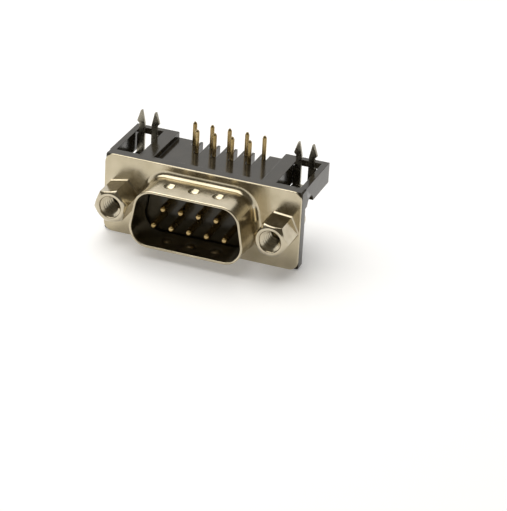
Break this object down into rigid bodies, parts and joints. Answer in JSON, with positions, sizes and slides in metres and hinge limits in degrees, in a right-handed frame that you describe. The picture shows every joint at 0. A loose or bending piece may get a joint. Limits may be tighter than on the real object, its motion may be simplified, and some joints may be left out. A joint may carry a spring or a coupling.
{
  "type": "d-sub connector",
  "caption": "Right-angle board-mount D-sub plug: drawn D shell with flange, pins bent down to solder tails, glass-filled housing, forked board locks and female screwlocks.",
  "frame": {"origin": "middle of the flange's front face, halfway between the two screwlocks", "axes": "+X along the width, +Y to the rear and away from the mating face, +Z towards the circuit board that the tails are soldered into"},
  "size_m": [0.0308, 0.018, 0.0162],
  "materials": {
    "shell_nickel": "bright warm nickel plate",
    "housing_plastic": "smooth moulded, dark grey to black",
    "contact_gold": "gold over nickel",
    "lock_steel": "dull tin plate",
    "nut_nickel": "nickel plate",
    "screwlock_nickel": "bright warm nickel plate over brass"
  },
  "bodies": {
    "root": {"shell": "shell_nickel", "housing": "housing_plastic", "contact_1": "contact_gold", "contact_2": "contact_gold", "contact_3": "contact_gold", "contact_4": "contact_gold", "contact_5": "contact_gold", "contact_6": "contact_gold", "contact_7": "contact_gold", "contact_8": "contact_gold", "contact_9": "contact_gold", "board_lock_left": "lock_steel", "board_lock_right": "lock_steel", "clinch_nut_left": "nut_nickel", "clinch_nut_right": "nut_nickel", "screwlock_left": "screwlock_nickel", "screwlock_right": "screwlock_nickel"}
  },
  "joints": []
}
